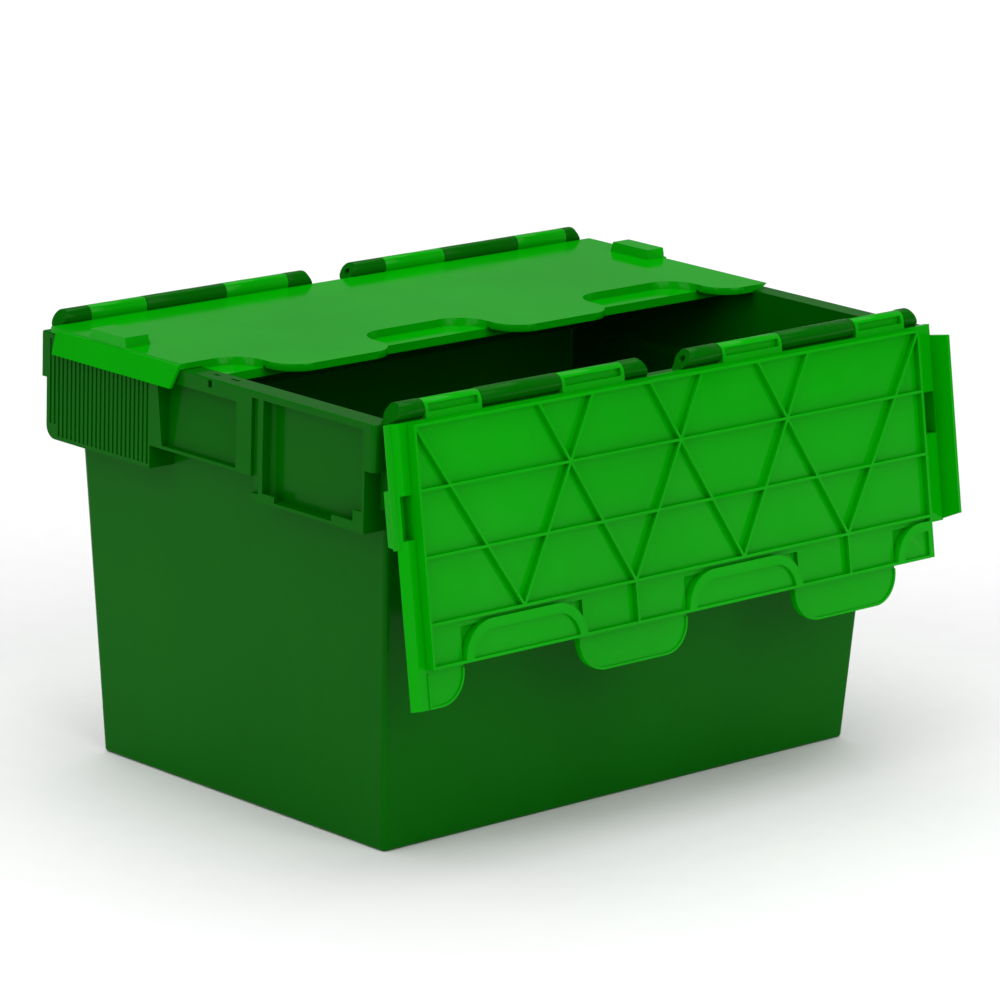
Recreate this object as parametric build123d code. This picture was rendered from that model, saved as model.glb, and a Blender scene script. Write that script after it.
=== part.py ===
"""Attached lid tote: one moulded tub, two interlocking lids and the four steel rods they turn on.

Millimetres. X runs along the long side, Y from front to back, Z up. The origin is the centre of
the base, on the surface that the tote stands on. Both lids are drawn closed, as the lid that is
hinged at +Y; the front lid is that lid turned half a turn about Z, then swung open.
"""

import os

from build123d import *

# ---------------------------------------------------------------- driving dimensions
BASE_LENGTH = 483.0
BASE_WIDTH = 325.0
WALL = 3.0
DRAFT_X = 0.0622          # how far an end wall leans out for each mm of height
DRAFT_Y = 0.0456          # the same for the long walls
TUB_RADIUS = 4.5          # vertical edges of the tub
FLOOR_TOP = 6.0
FOOT_RECESS = 2.5         # depth of the ribbed recess under the floor
FOOT_MARGIN = 14.0

RIM_Z = 331.7             # top of the rim, where the lids rest
RIM_THICKNESS = 5.2
RIM_BEVEL = 1.4           # side of the square that bevels the outer edge of the rim
FLANGE_Y = 191.2          # outer edge of the rim along the hinges
MOUTH_X = 262.2           # half opening inside the rim
MOUTH_Y = 182.5
COLLAR_Z = 266.0          # where the wall steps out to the collar
COLLAR_X = MOUTH_X + WALL
COLLAR_Y = MOUTH_Y + WALL
COLLAR_RADIUS = 7.5
FRAME_X = 281.0           # face of the end frames
FRAME_INNER_X = 256.0     # the frames run in to here, inside the end wall
SIDE_LEDGE_X = 230.0      # the ribbed ledge below the rim of each long side
SIDE_LEDGE_Y = 197.0
SIDE_LEDGE_Z = 283.0
SIDE_LEDGE_RIBS = 9

HINGE_Y = 188.5
HINGE_Z = 339.5
KNUCKLE_RADIUS = 7.0
KNUCKLE_FRONT = 5.8       # from the hinge axis to the knuckle's face on the mouth side
KNUCKLE_CORNER = 4.0
KNUCKLE_GAP = 0.5         # between a lid knuckle and the body knuckles beside it
PIN_RADIUS = 2.5
PIN_CLEARANCE = 0.05
PIN_END_SKIN = 3.0        # closed wall at the outer end of each pin bore
PIN_INSET = 6.0           # how far the open end of a pin sits inside its ear
OPEN_ANGLE = 261.0        # swing of a lid from closed to hanging

HINGE_ROW_X = 272.8       # half length of the row of knuckles, and of the rim under it
# Each hinge group: its two ends at the foot of the ears, and the two spans that the lid fills.
HINGE_GROUPS = (
    (-HINGE_ROW_X, -16.9, ((-241.9, -187.5), (-107.8, -45.0))),
    (16.9, HINGE_ROW_X, ((57.2, 120.0), (200.6, 254.0))),
)
EAR_SLANT = 9.4           # how far the end of an ear leans in from foot to top

LID_TOP = 336.5
PLATE = 4.5
LID_BOTTOM = LID_TOP - PLATE
PANEL_BOTTOM = LID_BOTTOM - 3.4   # the lid is thicker inside its rib frame
RIB_BOTTOM = LID_BOTTOM - 8.0
SHELF_TOP = 330.6
SHELF_BOTTOM = 326.6
LID_EDGE_Y = 181.2        # hinge edge of the lid plate
MID_GAP = 0.95            # half the gap between a tongue and the pocket beside it
SHELF_FRONT = 2.5         # shelves and ribs stop this far short of the middle
PITCH = 112.5             # width of one tongue or one pocket along the middle
TONGUE_REACH = 26.5
POCKET_DEPTH = 28.0
TONGUE_RADIUS = 24.0
POCKET_RADIUS = 25.4
RIB = 2.2
LID_FRAME_X = 261.4
RIB_ROWS = (34.8, 83.2, 131.8)
RIB_FRAME_Y = 177.4
PLAIN_END_X = 275.5       # edge of the plate at the end without a wing
PLAIN_END_BEVEL = (6.3, 4.2)
LEDGE_X = 279.5           # a thin ledge runs on from the plain end beside the lug
LEDGE_THICKNESS = 1.5
LUG_X0 = 260.0            # a lug runs from here to the end of the plate
LUG_Y = (93.0, 133.0)
LUG_HEIGHT = 7.5
LUG_WALL = 3.8

WING_X = 283.5            # where the steep wing of a lid leaves the plate
WING_DROP = 1.5           # rounding between plate and wing
WING_TIP_X = 288.0
WING_TIP_Z = 317.5
WING_THICKNESS = 2.6
WING_Y = (POCKET_DEPTH, 172.5)
WING_RAKE = 6.0           # the wing's end near the middle leans back by this much

BAND_BOTTOM = 249.8       # underside of the label holder and of the fluted pad
HOLDER_FRONT = -175.8
CARD_RECESS_DEPTH = 10.5
LEG_WIDTH = 13.0          # the upright strip between the card recess and the centre panel
PANEL_Y = (-51.5, 64.0)   # the centre panel of an end
PANEL_Z0 = 267.6
PANEL_RECESS_TOP = 320.0
PAD_BACK = 186.5
FLUTES = 24
FLUTE_DEPTH = 1.1
PAD_RIBS = 3
POST_Y = (-185.5, -173.4)  # the corner post beside the card recess
POST_BOTTOM = 296.5
POST_RADIUS = 4.0


# ---------------------------------------------------------------- small helpers
def slab(x0, x1, y0, y1, z0, z1):
    """A box given by its two corners."""
    middle = Pos((x0 + x1) / 2, (y0 + y1) / 2, (z0 + z1) / 2)
    return middle * Box(x1 - x0, y1 - y0, z1 - z0)


def flat(x0, x1, y0, y1):
    """A rectangle in the XY plane given by its two corners."""
    return Pos((x0 + x1) / 2, (y0 + y1) / 2) * Rectangle(x1 - x0, y1 - y0)


def upright(sketch, z0, z1):
    """A sketch in the XY plane, raised between two heights."""
    return Pos(0, 0, z0) * extrude(sketch, z1 - z0)


def along_x(sketch, x0, x1):
    """A sketch drawn in (y, z), swept from x0 to x1."""
    return Pos(x0, 0, 0) * extrude(Plane.YZ * sketch, x1 - x0)


def along_y(sketch, y0, y1):
    """A sketch drawn in (x, z), swept from y0 to y1."""
    return Pos(0, y1, 0) * extrude(Plane.XZ * sketch, y1 - y0)


def rounded(half_x, half_y, radius, z):
    return Pos(0, 0, z) * RectangleRounded(2 * half_x, 2 * half_y, radius)


def corners_at(sketch, y, x_range=(-1000, 1000)):
    """The vertices of a sketch on one line of constant y."""
    found = sketch.vertices().filter_by_position(Axis.Y, y - 0.01, y + 0.01)
    return found.filter_by_position(Axis.X, *x_range)


def half_turn(shape):
    return Rot(0, 0, 180) * shape


def tub_half(z):
    """Outer half length and half width of the tub wall at one height."""
    return BASE_LENGTH / 2 + DRAFT_X * z, BASE_WIDTH / 2 + DRAFT_Y * z


# ---------------------------------------------------------------- the tub
def tub_block(inset, radius, z0, z1):
    lower = rounded(*(half - inset for half in tub_half(z0)), radius, z0)
    upper = rounded(*(half - inset for half in tub_half(z1)), radius, z1)
    return loft([lower, upper], ruled=True)


def inside():
    """The space inside the tub: drafted below, stepped out inside the collar."""
    inner_radius = TUB_RADIUS - 1.5
    step_z = COLLAR_Z + 5
    shoulder = [
        rounded(*(half - WALL for half in tub_half(COLLAR_Z)), inner_radius, COLLAR_Z),
        rounded(MOUTH_X, MOUTH_Y, inner_radius, step_z),
    ]
    collar = upright(RectangleRounded(2 * MOUTH_X, 2 * MOUTH_Y, COLLAR_RADIUS - WALL), step_z, RIM_Z + 1)
    below = tub_block(WALL, inner_radius, FLOOR_TOP, COLLAR_Z)
    return below + loft(shoulder, ruled=True) + collar


def foot_recess():
    """The shallow recess under the floor, crossed by ribs that are level with the rim of the foot."""
    half_x = BASE_LENGTH / 2 - FOOT_MARGIN
    half_y = BASE_WIDTH / 2 - FOOT_MARGIN
    recess = upright(RectangleRounded(2 * half_x, 2 * half_y, 8), -1, FOOT_RECESS)
    for step in range(-3, 4):
        recess -= slab(step * 60 - RIB / 2, step * 60 + RIB / 2, -half_y, half_y, -2, FOOT_RECESS)
    for step in (-1, 0, 1):
        recess -= slab(-half_x, half_x, step * 72 - RIB / 2, step * 72 + RIB / 2, -2, FOOT_RECESS)
    return recess


def label_holder():
    """Left end, front half: a recess for a label card behind a stepped lower lip."""
    y0, y1 = HOLDER_FRONT, PANEL_Y[0]
    leg_y = y1 - LEG_WIDTH
    sill_z = BAND_BOTTOM + 2.5
    under_rim = RIM_Z - RIM_THICKNESS
    floor_x = -FRAME_X + CARD_RECESS_DEPTH
    holder = slab(-FRAME_X, -FRAME_INNER_X, y0, y1, BAND_BOTTOM, RIM_Z)
    recess = flat(-FRAME_X - 9, floor_x, y0 + 2.4, leg_y)
    recess = fillet(recess.vertices().filter_by_position(Axis.X, floor_x - 1, 0), 4)
    holder -= upright(recess, sill_z, under_rim)
    holder -= slab(-FRAME_X - 1, -FRAME_X + 3, y1 - 8.5, y1, sill_z + 3, under_rim)
    lip_steps = ((-78, leg_y, 256.9), (-164, -141, 257.3), (y0 + 2.4, -164, 265.7))
    for step_y0, step_y1, step_top in lip_steps:
        holder += slab(-FRAME_X, -FRAME_X + 2.5, step_y0, step_y1, BAND_BOTTOM, step_top)
    return holder


def panel_recess():
    """The hollow in the centre panel: its floor leans out towards the bottom, its back side leans too."""
    y0, y1 = PANEL_Y[0] + 17, PANEL_Y[1] - 8
    z0, z1 = PANEL_Z0 + 2.4, PANEL_RECESS_TOP
    floor_low, floor_high = FRAME_X - 6, FRAME_X - 13
    profile = Polyline((-FRAME_X - 1, z0), (-floor_low, z0), (-floor_high, z1), (-FRAME_X - 1, z1), close=True)
    sides = Polyline((y0, z0), (y1 - 6, z0), (y1, z1), (y0, z1), close=True)
    return along_y(make_face(profile), y0, y1) & along_x(make_face(sides), -FRAME_X - 1, -floor_high + 1)


def centre_panel():
    """Left end, middle: a box with a leaning recess in its face and slots for a security seal."""
    y0, y1 = PANEL_Y
    panel = slab(-FRAME_X, -FRAME_INNER_X, y0, y1, PANEL_Z0, RIM_Z)
    panel -= panel_recess()
    panel -= slab(-FRAME_X - 1, -FRAME_X + 4, -6.4, -2.2, 324.8, 330.2)
    for slot_y0, slot_y1 in ((-2.0, 4.2), (-24.6, -14.8)):
        panel -= slab(-271.2, -268.2, slot_y0, slot_y1, RIM_Z - RIM_THICKNESS - 4, RIM_Z + 1)
    return panel


def fluted_pad():
    """Left end, back half: a hand hold with vertical flutes on its face, hollow from below."""
    y0, y1 = PANEL_Y[1], PAD_BACK
    outline = Plane(origin=((y0 + y1) / 2, (BAND_BOTTOM + RIM_Z) / 2)) * Rectangle(y1 - y0, RIM_Z - BAND_BOTTOM)
    outline = fillet(outline.vertices().sort_by(Axis.X)[-2:].sort_by(Axis.Y)[0], 10)
    pad = along_x(outline, -FRAME_X, -FRAME_INNER_X)
    pad -= slab(-FRAME_X + WALL, -COLLAR_X - WALL, y0 + 3, y1 - 11, BAND_BOTTOM - 1, RIM_Z - RIM_THICKNESS)
    for number in range(PAD_RIBS):
        rib_y0 = y0 + (number + 1) * (y1 - y0) / (PAD_RIBS + 1) - RIB / 2
        pad += slab(-FRAME_X + 1.5, -FRAME_INNER_X, rib_y0, rib_y0 + RIB, BAND_BOTTOM + 6, RIM_Z - 1)
    pitch = (y1 - y0 - 3) / FLUTES
    flute_x = -FRAME_X + FLUTE_DEPTH
    for number in range(FLUTES):
        groove_y = y0 + 2 + number * pitch
        groove_z0 = BAND_BOTTOM + (12 if number > FLUTES - 3 else 3.2)
        pad -= slab(-FRAME_X - 1, flute_x, groove_y, groove_y + pitch * 0.42, groove_z0, RIM_Z - 4)
    return pad


def end_frame():
    """Everything outside the wall at the left end; the right end is the same, turned half round."""
    under_rim = RIM_Z - RIM_THICKNESS
    post = flat(-FRAME_X, -FRAME_INNER_X, *POST_Y)
    post = fillet(post.vertices().sort_by(Axis.X)[:2].sort_by(Axis.Y)[0], POST_RADIUS)
    post = upright(post, POST_BOTTOM, RIM_Z)
    post -= slab(-FRAME_X + 4, -COLLAR_X - 2, POST_Y[0] + 6, HOLDER_FRONT, POST_BOTTOM - 1, under_rim)
    lip = slab(-FRAME_X, -FRAME_INNER_X, PAD_BACK - 3, FLANGE_Y + 0.6, POST_BOTTOM, RIM_Z)
    lip -= slab(-FRAME_X + 3, -COLLAR_X - WALL, PAD_BACK, FLANGE_Y - 2.4, POST_BOTTOM - 1, under_rim)
    bevel = Plane(origin=(-FRAME_X, RIM_Z)) * Rectangle(RIM_BEVEL, RIM_BEVEL, rotation=45)
    frame = label_holder() + centre_panel() + fluted_pad() + post + lip
    return frame - along_y(bevel, -COLLAR_Y - 1, FLANGE_Y + 1)


def long_side():
    """Outside of the front wall: rim under the hinges, and the ribbed ledge the lid hangs clear of."""
    inner_y = 180.0
    side = slab(-HINGE_ROW_X, HINGE_ROW_X, -FLANGE_Y, -inner_y, RIM_Z - 6, RIM_Z)
    depth = SIDE_LEDGE_Y - inner_y
    ledge = Plane(origin=(0, -(SIDE_LEDGE_Y + inner_y) / 2)) * RectangleRounded(2 * SIDE_LEDGE_X, depth, 5)
    side += upright(ledge, SIDE_LEDGE_Z, SIDE_LEDGE_Z + 3.2)
    side += upright(ledge - offset(ledge, -2.4), SIDE_LEDGE_Z, SIDE_LEDGE_Z + 6)
    end_rib_x = SIDE_LEDGE_X - 6
    web = Polyline(
        (-inner_y, SIDE_LEDGE_Z),
        (-SIDE_LEDGE_Y, SIDE_LEDGE_Z),
        (-SIDE_LEDGE_Y, SIDE_LEDGE_Z + 5),
        (-FLANGE_Y, RIM_Z - 22),
        (-FLANGE_Y, RIM_Z - 1),
        (-inner_y, RIM_Z - 1),
        close=True,
    )
    for number in range(SIDE_LEDGE_RIBS):
        rib_x = -end_rib_x + number * 2 * end_rib_x / (SIDE_LEDGE_RIBS - 1)
        side += along_x(make_face(web), rib_x - RIB / 2, rib_x + RIB / 2)
    return side


def knuckle_section(foot_z, outer_foot_y):
    """Section of a hinge knuckle in (distance from the hinge axis towards the mouth, z)."""
    top = HINGE_Z + KNUCKLE_RADIUS
    front = Rectangle(KNUCKLE_FRONT, top - foot_z)
    front = fillet(front.vertices().sort_by(Axis.X)[-2:].sort_by(Axis.Y)[-1], KNUCKLE_CORNER)
    section = Pos(KNUCKLE_FRONT / 2, (top + foot_z) / 2) * front + Pos(0, HINGE_Z) * Circle(KNUCKLE_RADIUS)
    foot = Pos(-outer_foot_y / 2, (HINGE_Z + foot_z) / 2) * Rectangle(outer_foot_y, HINGE_Z - foot_z)
    return section + foot


def bore(x0, x1, radius):
    return along_x(Pos(0, HINGE_Z) * Circle(radius), x0, x1)


def slant_at(z):
    """How far the slanted end of an ear has moved in at one height."""
    return EAR_SLANT * (z - RIM_Z) / (HINGE_Z + KNUCKLE_RADIUS - RIM_Z)


def pin_span(group):
    """Where a pin starts and ends: a closed end at the tote's corner, an open one near its middle."""
    x0, x1, _ = group
    near_x0 = PIN_END_SKIN if x0 < 0 else PIN_INSET
    near_x1 = PIN_INSET if x0 < 0 else PIN_END_SKIN
    return x0 + slant_at(HINGE_Z) + near_x0, x1 - slant_at(HINGE_Z) - near_x1


def body_knuckles(group):
    """The ears and the middle knuckle of one hinge group, about an axis at y = 0."""
    x0, x1, lid_spans = group
    top = HINGE_Z + KNUCKLE_RADIUS
    side_view = Polyline((x0, RIM_Z - 2), (x0, RIM_Z), (x0 + EAR_SLANT, top + 1), (x1 - EAR_SLANT, top + 1),
                         (x1, RIM_Z), (x1, RIM_Z - 2), close=True)
    knuckles = along_x(knuckle_section(RIM_Z - 2, FLANGE_Y - HINGE_Y), x0, x1)
    knuckles &= along_y(make_face(side_view), -20, 20)
    for span_x0, span_x1 in lid_spans:
        knuckles -= slab(span_x0 - KNUCKLE_GAP, span_x1 + KNUCKLE_GAP, -20, 20, RIM_Z, top + 1)
    pin_x0, pin_x1 = pin_span(group)
    bore_x0, bore_x1 = (pin_x0, x1) if x0 < 0 else (x0, pin_x1)
    return knuckles - bore(bore_x0, bore_x1, PIN_RADIUS + PIN_CLEARANCE)


def tote_body():
    body = tub_block(0, TUB_RADIUS, 0, RIM_Z)
    body = fillet(body.faces().sort_by(Axis.Z)[0].edges(), 3)
    body += upright(RectangleRounded(2 * COLLAR_X, 2 * COLLAR_Y, COLLAR_RADIUS), COLLAR_Z, RIM_Z)
    frame = end_frame()
    side = long_side()
    body += [frame, half_turn(frame), side, half_turn(side)]
    body -= [inside(), foot_recess()]
    for group in HINGE_GROUPS:
        knuckles = body_knuckles(group)
        body += Pos(0, -HINGE_Y, 0) * knuckles
        body += Pos(0, HINGE_Y, 0) * mirror(knuckles, Plane.XZ)
    return body


# ---------------------------------------------------------------- the lids
def tongue_spans():
    """X spans of the three tongues of the back lid; the last one runs out over the rim."""
    spans = [(step * PITCH + MID_GAP, (step + 1) * PITCH - MID_GAP) for step in (-2, 0)]
    return spans + [(2 * PITCH + MID_GAP, PLAIN_END_X)]


def pocket_spans():
    """X spans of the three pockets, which take the other lid's tongues."""
    spans = [(step * PITCH - MID_GAP, (step + 1) * PITCH + MID_GAP) for step in (-1, 1)]
    return [(-MOUTH_X + 1, -2 * PITCH + MID_GAP)] + spans


def lid_outline():
    """The top plate seen from above: straight at the hinge, tongues and pockets at the middle."""
    outline = flat(-FRAME_X - 0.5, PLAIN_END_X, POCKET_DEPTH, LID_EDGE_Y)
    outline += flat(-WING_X + WING_DROP, -FRAME_X, *WING_Y)
    for x0, x1 in tongue_spans():
        outline += flat(x0, x1, -TONGUE_REACH, POCKET_DEPTH)
    tips = corners_at(outline, -TONGUE_REACH, (-270, PLAIN_END_X - 1))
    outline = fillet(tips, TONGUE_RADIUS)
    return fillet(corners_at(outline, POCKET_DEPTH, (-270, 270)), POCKET_RADIUS)


def pocket_shape(x0, x1, grow, depth_from):
    """A pocket seen from above, grown by some distance, from near the middle line backwards."""
    shape = flat(x0 - grow, x1 + grow, depth_from, POCKET_DEPTH + grow)
    return fillet(corners_at(shape, POCKET_DEPTH + grow), POCKET_RADIUS + grow)


def end_pocket_shape(grow, depth_from):
    """The half pocket beside the wing, which is open towards the end."""
    x0, x1 = pocket_spans()[0]
    shape = flat(x0, x1 + grow, depth_from, POCKET_DEPTH + grow)
    inner_corner = corners_at(shape, POCKET_DEPTH + grow, (x1 + grow - 0.1, x1 + grow + 0.1))
    return fillet(inner_corner, POCKET_RADIUS + grow)


def pocket_rooms():
    """The room above the shelves that the other lid's tongues drop into."""
    x0, x1 = pocket_spans()[0]
    past_end = flat(-WING_TIP_X, x0 + 1, -1, POCKET_DEPTH)
    sketches = [end_pocket_shape(0, -1), past_end]
    sketches += [pocket_shape(x0, x1, 0, -1) for x0, x1 in pocket_spans()[1:]]
    return [upright(sketch, SHELF_TOP, LID_TOP + 1) for sketch in sketches]


def pocket_shelves():
    """Under each pocket: a shelf for the other lid's tongue, with an arched band round it."""
    band_out, band_in = 3.0, -4.5
    shelves = []
    shapes = [lambda grow, y0: end_pocket_shape(grow, y0)]
    for x0, x1 in pocket_spans()[1:]:
        shapes.append(lambda grow, y0, x0=x0, x1=x1: pocket_shape(x0, x1, grow, y0))
    for number, shape in enumerate(shapes):
        shelf = upright(shape(band_out, SHELF_FRONT), RIB_BOTTOM, LID_BOTTOM + 1)
        hollow = shape(band_in, SHELF_FRONT)
        if number == 0:
            hollow -= flat(-MOUTH_X, -MOUTH_X + 6, 0, POCKET_DEPTH)
        shelves.append(shelf - upright(hollow, RIB_BOTTOM - 1, SHELF_BOTTOM))
    return shelves


def under_ribs():
    """The frame, the three long ribs, the zigzag and the short stubs under the lid."""
    z0, z1 = RIB_BOTTOM, LID_BOTTOM + 1
    outer = LID_FRAME_X
    ribs = [
        slab(-outer, outer, SHELF_FRONT, SHELF_FRONT + RIB, z0, z1),
        slab(-outer, outer, RIB_FRAME_Y, RIB_FRAME_Y + RIB, z0, z1),
        slab(-outer, -outer + RIB, SHELF_FRONT, RIB_FRAME_Y + RIB, z0, z1),
        slab(outer - RIB, outer, SHELF_FRONT, RIB_FRAME_Y + RIB, z0, z1),
        slab(-outer, outer, POCKET_DEPTH + 1, RIB_FRAME_Y + RIB, PANEL_BOTTOM, z1),
    ]
    ribs += [slab(-outer, outer, y - RIB / 2, y + RIB / 2, z0, z1) for y in RIB_ROWS]
    first_row, _, last_row = RIB_ROWS
    lean = (PITCH / 2) / (last_row - first_row)
    run = (RIB_FRAME_Y + RIB / 2 - first_row) * lean
    for step in (-1.5, -0.5, 0.5, 1.5):
        apex = step * PITCH
        for side in (-1, 1):
            end_x = apex + side * run
            if abs(end_x) > 2 * PITCH:
                end_x = side * (outer - RIB / 2)
            line = Line((apex, first_row), (end_x, RIB_FRAME_Y + RIB / 2))
            strip = make_face(offset(line, RIB / 2))
            ribs.append(upright(strip, z0, z1))
    for step in (-1.5, 0.5):
        ribs.append(slab(step * PITCH - RIB / 2, step * PITCH + RIB / 2, SHELF_FRONT, first_row, z0, z1))
    for x0, x1 in tongue_spans():
        ribs.append(slab(x0 + 3, min(x1, outer) - 3, SHELF_FRONT, POCKET_DEPTH + 2, PANEL_BOTTOM, z1))
    return ribs


def tongue_lips():
    """A low lip that follows the edge of each tongue underneath."""
    lip_bottom = LID_BOTTOM - 1.1
    lip = 1.8
    lips = []
    for x0, x1 in tongue_spans():
        edge = min(x1, LID_FRAME_X)
        shape = flat(x0, edge, -TONGUE_REACH, -MID_GAP)
        inner = flat(x0 + lip, edge - lip, -TONGUE_REACH + lip, -MID_GAP)
        rounded_to = x1 + 1 if edge == x1 else x0 + 5
        shape = fillet(corners_at(shape, -TONGUE_REACH, (x0 - 1, rounded_to)), TONGUE_RADIUS)
        inner = fillet(corners_at(inner, -TONGUE_REACH + lip, (x0 - 1, rounded_to)), TONGUE_RADIUS - lip)
        lips.append(upright(shape - inner, lip_bottom, LID_BOTTOM + 0.5))
    return lips


def wing():
    """The steep wing that reaches down outside the end of the tote."""
    crease_z = LID_TOP - WING_DROP
    points = (
        (-MOUTH_X - 16, LID_TOP),
        (-WING_X + 2 * WING_DROP, LID_TOP),
        (-WING_X, crease_z),
        (-WING_TIP_X, WING_TIP_Z),
        (-WING_TIP_X + WING_THICKNESS, WING_TIP_Z),
        (-WING_X + WING_THICKNESS - 0.5, LID_BOTTOM),
        (-MOUTH_X - 16, LID_BOTTOM),
    )
    shape = along_y(make_face(Polyline(*points, close=True)), *WING_Y)
    near = WING_Y[0] - 0.1
    rake = Polyline((near, LID_TOP), (near, WING_TIP_Z - 1), (near + WING_RAKE, WING_TIP_Z - 1), close=True)
    return shape - along_x(make_face(rake), -WING_TIP_X - 1, -FRAME_X)


def lug(side):
    """A hollow stacking lug on top of the lid, at the left (-1) or the right (+1) end."""
    y0, y1 = LUG_Y
    end_x = WING_X - WING_DROP if side < 0 else LEDGE_X - 2
    core_x = WING_X - WING_THICKNESS if side < 0 else PLAIN_END_X - LUG_WALL
    draft = 1.6
    profile = Polyline((LUG_X0 - draft, LID_TOP - 1), (end_x, LID_TOP - 1), (end_x, LID_TOP + LUG_HEIGHT),
                       (LUG_X0, LID_TOP + LUG_HEIGHT), close=True)
    ends = Polyline((y0 - draft, LID_TOP - 1), (y1 + draft, LID_TOP - 1), (y1, LID_TOP + LUG_HEIGHT),
                    (y0, LID_TOP + LUG_HEIGHT), close=True)
    solid = along_y(make_face(profile), y0 - 5, y1 + 5) & along_x(make_face(ends), 0, end_x)
    core_top = LID_TOP + LUG_HEIGHT - 2.5
    core = slab(LID_FRAME_X + 0.6, core_x, y0 + LUG_WALL, y1 - LUG_WALL, PANEL_BOTTOM - 1, core_top)
    if side < 0:
        return mirror(solid, Plane.YZ), mirror(core, Plane.YZ)
    return solid, core


def lid_knuckle(x0, x1):
    """One lid knuckle about an axis at y = 0, with its arm to the plate and a cored underside."""
    foot_z = HINGE_Z - KNUCKLE_RADIUS
    knuckle = along_x(knuckle_section(foot_z, 0.5), x0, x1)
    knuckle += slab(x0, x1, 0, HINGE_Y - LID_EDGE_Y + 2, LID_BOTTOM + 0.3, LID_TOP)
    side_wall = 3.2
    knuckle -= slab(x0 + side_wall, x1 - side_wall, -3.0, 2.8, foot_z - 1, HINGE_Z - PIN_RADIUS - 1.0)
    return knuckle - bore(x0 - 1, x1 + 1, PIN_RADIUS + PIN_CLEARANCE)


def lid(knuckle_spans):
    """A closed lid hinged at +Y, with its wing at the left end."""
    shape = upright(lid_outline(), LID_BOTTOM, LID_TOP)
    width, height = PLAIN_END_BEVEL
    bevel = Polyline((PLAIN_END_X - width, LID_BOTTOM), (PLAIN_END_X, LID_BOTTOM + height),
                     (PLAIN_END_X + 1, LID_BOTTOM + height), (PLAIN_END_X + 1, LID_BOTTOM - 1),
                     (PLAIN_END_X - width, LID_BOTTOM - 1), close=True)
    shape -= along_y(make_face(bevel), -TONGUE_REACH - 1, LID_EDGE_Y + 1)
    ledge = slab(PLAIN_END_X - 1, LEDGE_X, LUG_Y[0] - 2, LID_EDGE_Y, LID_TOP - LEDGE_THICKNESS, LID_TOP)
    shape += under_ribs() + pocket_shelves() + tongue_lips() + [wing(), ledge]
    shape -= pocket_rooms()
    for side in (-1, 1):
        solid, core = lug(side)
        shape = shape + solid - core
    for x0, x1 in knuckle_spans:
        # The section is drawn with the mouth side at +y, so it is mirrored for the hinge at +Y.
        shape += Pos(0, HINGE_Y, 0) * mirror(lid_knuckle(x0, x1), Plane.XZ)
    return shape


def lid_spans():
    return [span for group in HINGE_GROUPS for span in group[2]]


def back_lid():
    return lid(lid_spans())


def front_lid():
    """The front lid, hanging open outside the front wall."""
    closed = half_turn(lid([(-x1, -x0) for x0, x1 in lid_spans()]))
    axis = Axis((0, -HINGE_Y, HINGE_Z), (1, 0, 0))
    return closed.rotate(axis, OPEN_ANGLE)


def hinge_pins():
    """Four steel rods, two along each long side."""
    pins = {}
    for row, y in (("front", -HINGE_Y), ("back", HINGE_Y)):
        for end, group in zip(("left", "right"), HINGE_GROUPS):
            pin = Pos(0, y, 0) * bore(*pin_span(group), PIN_RADIUS)
            pins[f"{row}_{end}_hinge_pin"] = chamfer(pin.edges().filter_by(GeomType.CIRCLE), 0.5)
    return pins


def main():
    os.makedirs("parts", exist_ok=True)
    nodes = {"tote_body": tote_body(), "front_lid": front_lid(), "back_lid": back_lid()}
    nodes.update(hinge_pins())
    for name, shape in nodes.items():
        export_step(shape, f"parts/{name}.step")


main()
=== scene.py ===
"""Looks of the attached lid tote: moulded plastic and drawn steel on the CAD frame, on a pale floor."""

import math

import bpy
from mathutils import Matrix, Vector

MM = 0.001
METRES_OF_FLOOR = 30

# ---------------------------------------------------------------- colours (linear RGB)
BODY_GREEN = (0.0005, 0.114, 0.0005)
LID_GREEN = (0.0005, 0.345, 0.0005)
BODY_GLOSS = (0.17, 0.05)   # mean roughness, specular level
LID_GLOSS = (0.12, 0.09)
STEEL_GREY = (0.50, 0.50, 0.51)
FLOOR_WHITE = (0.93, 0.93, 0.93)

# ---------------------------------------------------------------- camera
CAMERA_YAW = math.radians(-43.24)
CAMERA_PITCH = math.radians(14.36)
CAMERA_ROLL = math.radians(1.64)
CAMERA_DISTANCE = 4.4903
CAMERA_RIGHT = 0.01814      # the tote's base centre sits this far left of the frame's middle
CAMERA_UP = 0.18945         # and this far below it
SENSOR = 36.0
LENS = 207.7

# ---------------------------------------------------------------- light
WORLD_LIGHT = 0.2
SUNS = (                    # name, azimuth, elevation, spread in degrees, strength
    ("top", 60, 80, 70, 2.0),
    ("left", 185, 30, 50, 0.92),
    ("front", 268, 30, 50, 1.12),
)

# ---------------------------------------------------------------- small rounded edges
EDGE_RADIUS = 0.7 * MM
SHARP_ANGLE = math.radians(35)
WELD = 0.005 * MM


# ---------------------------------------------------------------- node helpers
def new_material(name):
    material = bpy.data.materials.new(name)
    material.use_nodes = True
    return material, material.node_tree, material.node_tree.nodes["Principled BSDF"]


def add(tree, kind, **settings):
    """A new shader node with some of its settings or input values given by name."""
    node = tree.nodes.new(kind)
    for key, value in settings.items():
        socket = key.replace("_", " ").title()
        if socket in node.inputs:
            node.inputs[socket].default_value = value
        else:
            setattr(node, key, value)
    return node


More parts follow.
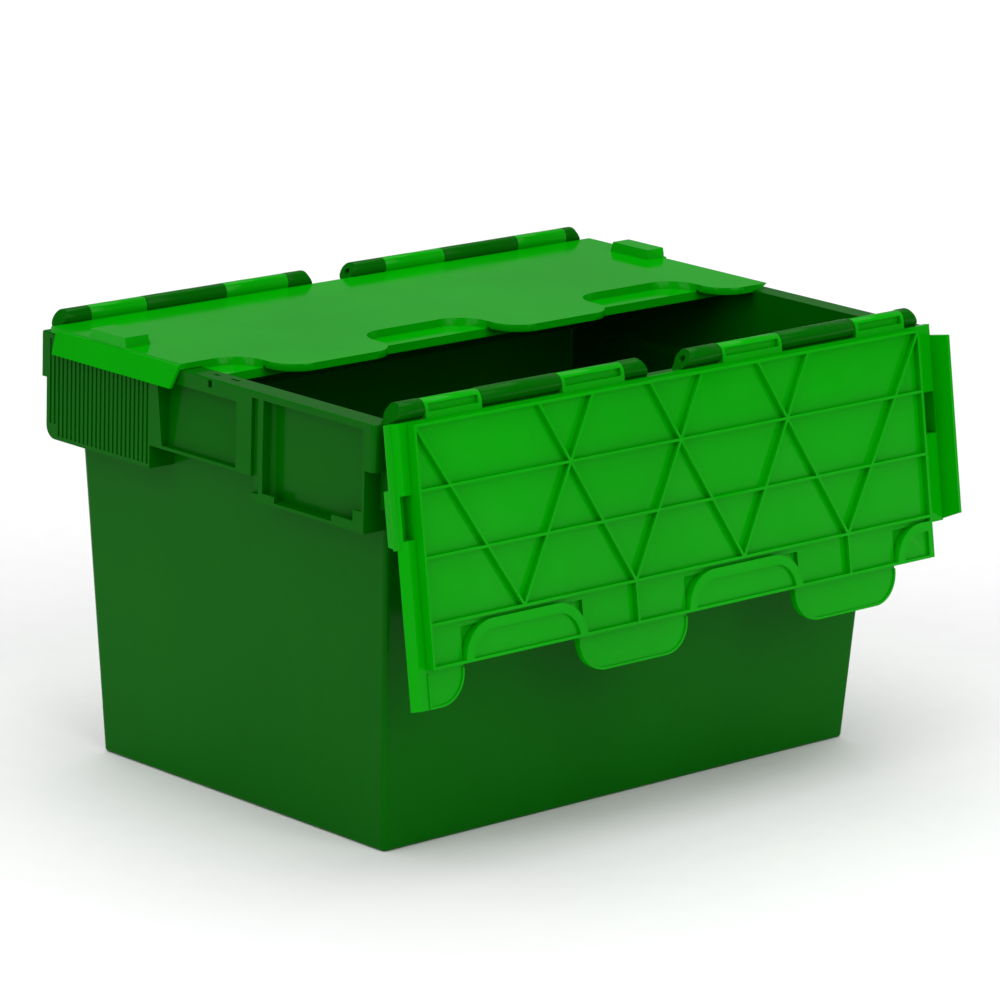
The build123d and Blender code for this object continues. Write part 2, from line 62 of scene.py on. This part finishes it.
def noise(tree, scale, detail=3.0, stretch=(1, 1, 1)):
    """Noise in the tote's own coordinates, scale in cells per metre."""
    place = add(tree, "ShaderNodeTexCoord")
    mapping = add(tree, "ShaderNodeMapping")
    mapping.inputs["Scale"].default_value = stretch
    texture = add(tree, "ShaderNodeTexNoise", scale=scale, detail=detail)
    tree.links.new(place.outputs["Object"], mapping.inputs["Vector"])
    tree.links.new(mapping.outputs["Vector"], texture.inputs["Vector"])
    return texture.outputs["Fac"]


def spread(tree, value, low, high, start=0.3, end=0.7):
    """Maps a texture value onto a range of numbers."""
    ramp = add(tree, "ShaderNodeMapRange")
    ramp.inputs["From Min"].default_value = start
    ramp.inputs["From Max"].default_value = end
    ramp.inputs["To Min"].default_value = low
    ramp.inputs["To Max"].default_value = high
    tree.links.new(value, ramp.inputs["Value"])
    return ramp.outputs["Result"]


def mix_colours(tree, factor, first, second):
    mix = add(tree, "ShaderNodeMix", data_type="RGBA")
    tree.links.new(factor, mix.inputs["Factor"])
    for socket, colour in ((mix.inputs["A"], first), (mix.inputs["B"], second)):
        if isinstance(colour, tuple):
            socket.default_value = (*colour, 1)
        else:
            tree.links.new(colour, socket)
    return mix.outputs["Result"]


def scaled(colour, factor):
    return tuple(channel * factor for channel in colour)


def moulded_plastic(name, colour, roughness, specular):
    """Injection-moulded polypropylene: faint flow marks, a fine skin, and scuffs that dull the gloss."""
    material, tree, shader = new_material(name)
    flow = noise(tree, 7, 4, stretch=(1, 1, 0.35))
    mottled = mix_colours(tree, spread(tree, flow, 0, 1), scaled(colour, 0.93), scaled(colour, 1.07))
    scuffs = noise(tree, 60, 6, stretch=(0.25, 1, 1))
    scuffed = spread(tree, scuffs, 0, 0.16, start=0.62, end=0.78)
    worn = mix_colours(tree, scuffed, mottled, scaled(colour, 1.35))
    tree.links.new(worn, shader.inputs["Base Color"])
    gloss = noise(tree, 18, 5)
    tree.links.new(spread(tree, gloss, roughness - 0.05, roughness + 0.07), shader.inputs["Roughness"])
    skin = noise(tree, 900, 2)
    warp = noise(tree, 11, 1)
    fine = add(tree, "ShaderNodeBump", strength=0.05)
    fine.inputs["Distance"].default_value = 0.05 * MM
    broad = add(tree, "ShaderNodeBump", strength=0.12)
    broad.inputs["Distance"].default_value = 0.6 * MM
    tree.links.new(skin, fine.inputs["Height"])
    tree.links.new(warp, broad.inputs["Height"])
    tree.links.new(broad.outputs["Normal"], fine.inputs["Normal"])
    tree.links.new(fine.outputs["Normal"], shader.inputs["Normal"])
    shader.inputs["Specular IOR Level"].default_value = specular
    return material


def drawn_steel(name, colour):
    """Zinc-plated wire: drawing lines along X and slightly cloudy plating."""
    material, tree, shader = new_material(name)
    cloud = noise(tree, 120, 3)
    plated = mix_colours(tree, spread(tree, cloud, 0, 1), scaled(colour, 0.8), scaled(colour, 1.1))
    tree.links.new(plated, shader.inputs["Base Color"])
    lines = noise(tree, 2500, 2, stretch=(0.02, 1, 1))
    tree.links.new(spread(tree, lines, 0.25, 0.42), shader.inputs["Roughness"])
    bump = add(tree, "ShaderNodeBump", strength=0.15)
    bump.inputs["Distance"].default_value = 0.03 * MM
    tree.links.new(lines, bump.inputs["Height"])
    tree.links.new(bump.outputs["Normal"], shader.inputs["Normal"])
    shader.inputs["Metallic"].default_value = 1.0
    return material


def pale_floor(name, colour):
    material, tree, shader = new_material(name)
    grain = noise(tree, 40, 3)
    tone = mix_colours(tree, spread(tree, grain, 0, 1), scaled(colour, 0.985), colour)
    tree.links.new(tone, shader.inputs["Base Color"])
    shader.inputs["Roughness"].default_value = 0.9
    shader.inputs["Specular IOR Level"].default_value = 0.1
    return material


# ---------------------------------------------------------------- pieces
def finish_node(piece, material):
    """Gives a CAD node its material and small rounded edges, without changing its own mesh."""
    piece.data.materials.clear()
    piece.data.materials.append(material)
    weld = piece.modifiers.new("weld", "WELD")
    weld.merge_threshold = WELD
    edges = piece.modifiers.new("edges", "BEVEL")
    edges.width = EDGE_RADIUS
    edges.segments = 2
    edges.limit_method = "ANGLE"
    edges.angle_limit = SHARP_ANGLE
    edges.use_clamp_overlap = True
    edges.harden_normals = True


def dress_tote(nodes):
    body_plastic = moulded_plastic("body_plastic", BODY_GREEN, *BODY_GLOSS)
    lid_plastic = moulded_plastic("lid_plastic", LID_GREEN, *LID_GLOSS)
    steel = drawn_steel("pin_steel", STEEL_GREY)
    for name, piece in nodes.items():
        if name.endswith("_pin"):
            finish_node(piece, steel)
        elif name.endswith("_lid"):
            finish_node(piece, lid_plastic)
        else:
            finish_node(piece, body_plastic)


# ---------------------------------------------------------------- stage
def make_floor():
    bpy.ops.mesh.primitive_plane_add(size=METRES_OF_FLOOR)
    floor = bpy.context.object
    floor.name = "floor"
    floor.data.materials.append(pale_floor("floor", FLOOR_WHITE))


def soft_sun(name, azimuth, elevation, spread_deg, strength):
    """Even, soft light from one direction: azimuth from +X towards +Y, elevation above the floor."""
    sun = bpy.data.lights.new(name, "SUN")
    sun.energy = strength
    sun.angle = math.radians(spread_deg)
    lamp = bpy.data.objects.new(name, sun)
    bpy.context.scene.collection.objects.link(lamp)
    turn, tilt = math.radians(azimuth), math.radians(elevation)
    towards = Vector((math.cos(turn) * math.cos(tilt), math.sin(turn) * math.cos(tilt), math.sin(tilt)))
    lamp.rotation_euler = towards.to_track_quat("Z", "Y").to_euler()


def light_studio():
    world = bpy.data.worlds.new("studio")
    world.use_nodes = True
    world.node_tree.nodes["Background"].inputs["Color"].default_value = (1, 1, 1, 1)
    world.node_tree.nodes["Background"].inputs["Strength"].default_value = WORLD_LIGHT
    bpy.context.scene.world = world
    for name, azimuth, elevation, spread_deg, strength in SUNS:
        soft_sun(name, azimuth, elevation, spread_deg, strength)


def camera_axes():
    """Right, up and backward directions of the camera."""
    sin_yaw, cos_yaw = math.sin(CAMERA_YAW), math.cos(CAMERA_YAW)
    sin_pitch, cos_pitch = math.sin(CAMERA_PITCH), math.cos(CAMERA_PITCH)
    back = Vector((sin_yaw * cos_pitch, -cos_yaw * cos_pitch, sin_pitch))
    level = Vector((cos_yaw, sin_yaw, 0))
    upright = back.cross(level)
    right = math.cos(CAMERA_ROLL) * level + math.sin(CAMERA_ROLL) * upright
    up = math.cos(CAMERA_ROLL) * upright - math.sin(CAMERA_ROLL) * level
    return right, up, back


def place_camera():
    right, up, back = camera_axes()
    data = bpy.data.cameras.new("camera")
    data.sensor_width = SENSOR
    data.lens = LENS
    camera = bpy.data.objects.new("camera", data)
    bpy.context.scene.collection.objects.link(camera)
    place = back * CAMERA_DISTANCE + right * CAMERA_RIGHT + up * CAMERA_UP
    turn = Matrix((right, up, back)).transposed().to_4x4()
    camera.matrix_world = Matrix.Translation(place) @ turn
    bpy.context.scene.camera = camera


# ---------------------------------------------------------------- scene
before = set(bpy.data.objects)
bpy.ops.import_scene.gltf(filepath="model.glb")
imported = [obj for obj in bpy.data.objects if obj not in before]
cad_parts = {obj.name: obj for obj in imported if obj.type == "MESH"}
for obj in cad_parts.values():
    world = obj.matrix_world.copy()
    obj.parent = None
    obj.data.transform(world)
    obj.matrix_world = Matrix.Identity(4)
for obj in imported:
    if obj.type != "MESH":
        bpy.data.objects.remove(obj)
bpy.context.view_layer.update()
dress_tote(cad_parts)
make_floor()
light_studio()
place_camera()
bpy.context.scene.view_settings.view_transform = "Standard"
